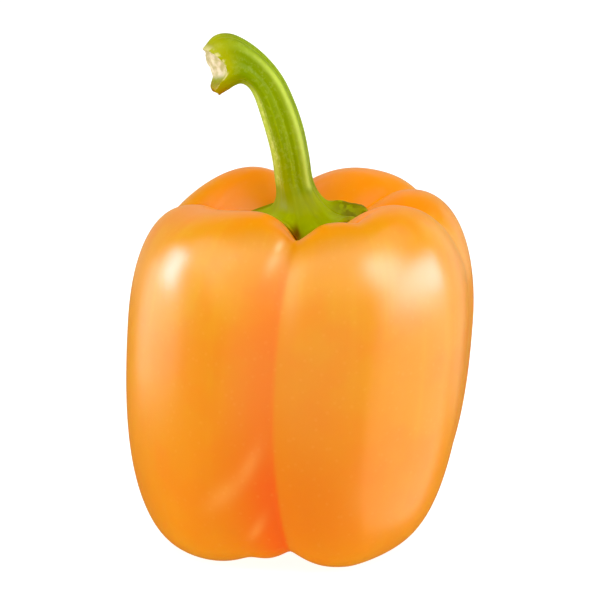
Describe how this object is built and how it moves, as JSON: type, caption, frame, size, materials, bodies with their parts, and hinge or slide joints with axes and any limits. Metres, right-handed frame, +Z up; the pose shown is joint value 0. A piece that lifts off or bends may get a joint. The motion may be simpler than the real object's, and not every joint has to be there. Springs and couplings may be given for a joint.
{
  "type": "bell pepper",
  "caption": "Whole orange bell pepper, blocky and lobed, with its curved green stalk and calyx, standing on the feet of its lobes.",
  "frame": {"origin": "middle of the pepper's width and depth, on the surface that its feet stand on", "axes": "+Z up from the feet to the stalk; -Y is the front, with the deepest groove; +X is the right side, away from the way the stalk bends"},
  "size_m": [0.087, 0.0874, 0.1294],
  "materials": {
    "fruit_skin": "smooth waxy orange skin with soft broad highlights",
    "stem_green": "satin yellow-green, ridged along the stalk, paler at the cut end"
  },
  "bodies": {
    "root": {"fruit": "fruit_skin", "stem_and_calyx": "stem_green"}
  },
  "joints": []
}
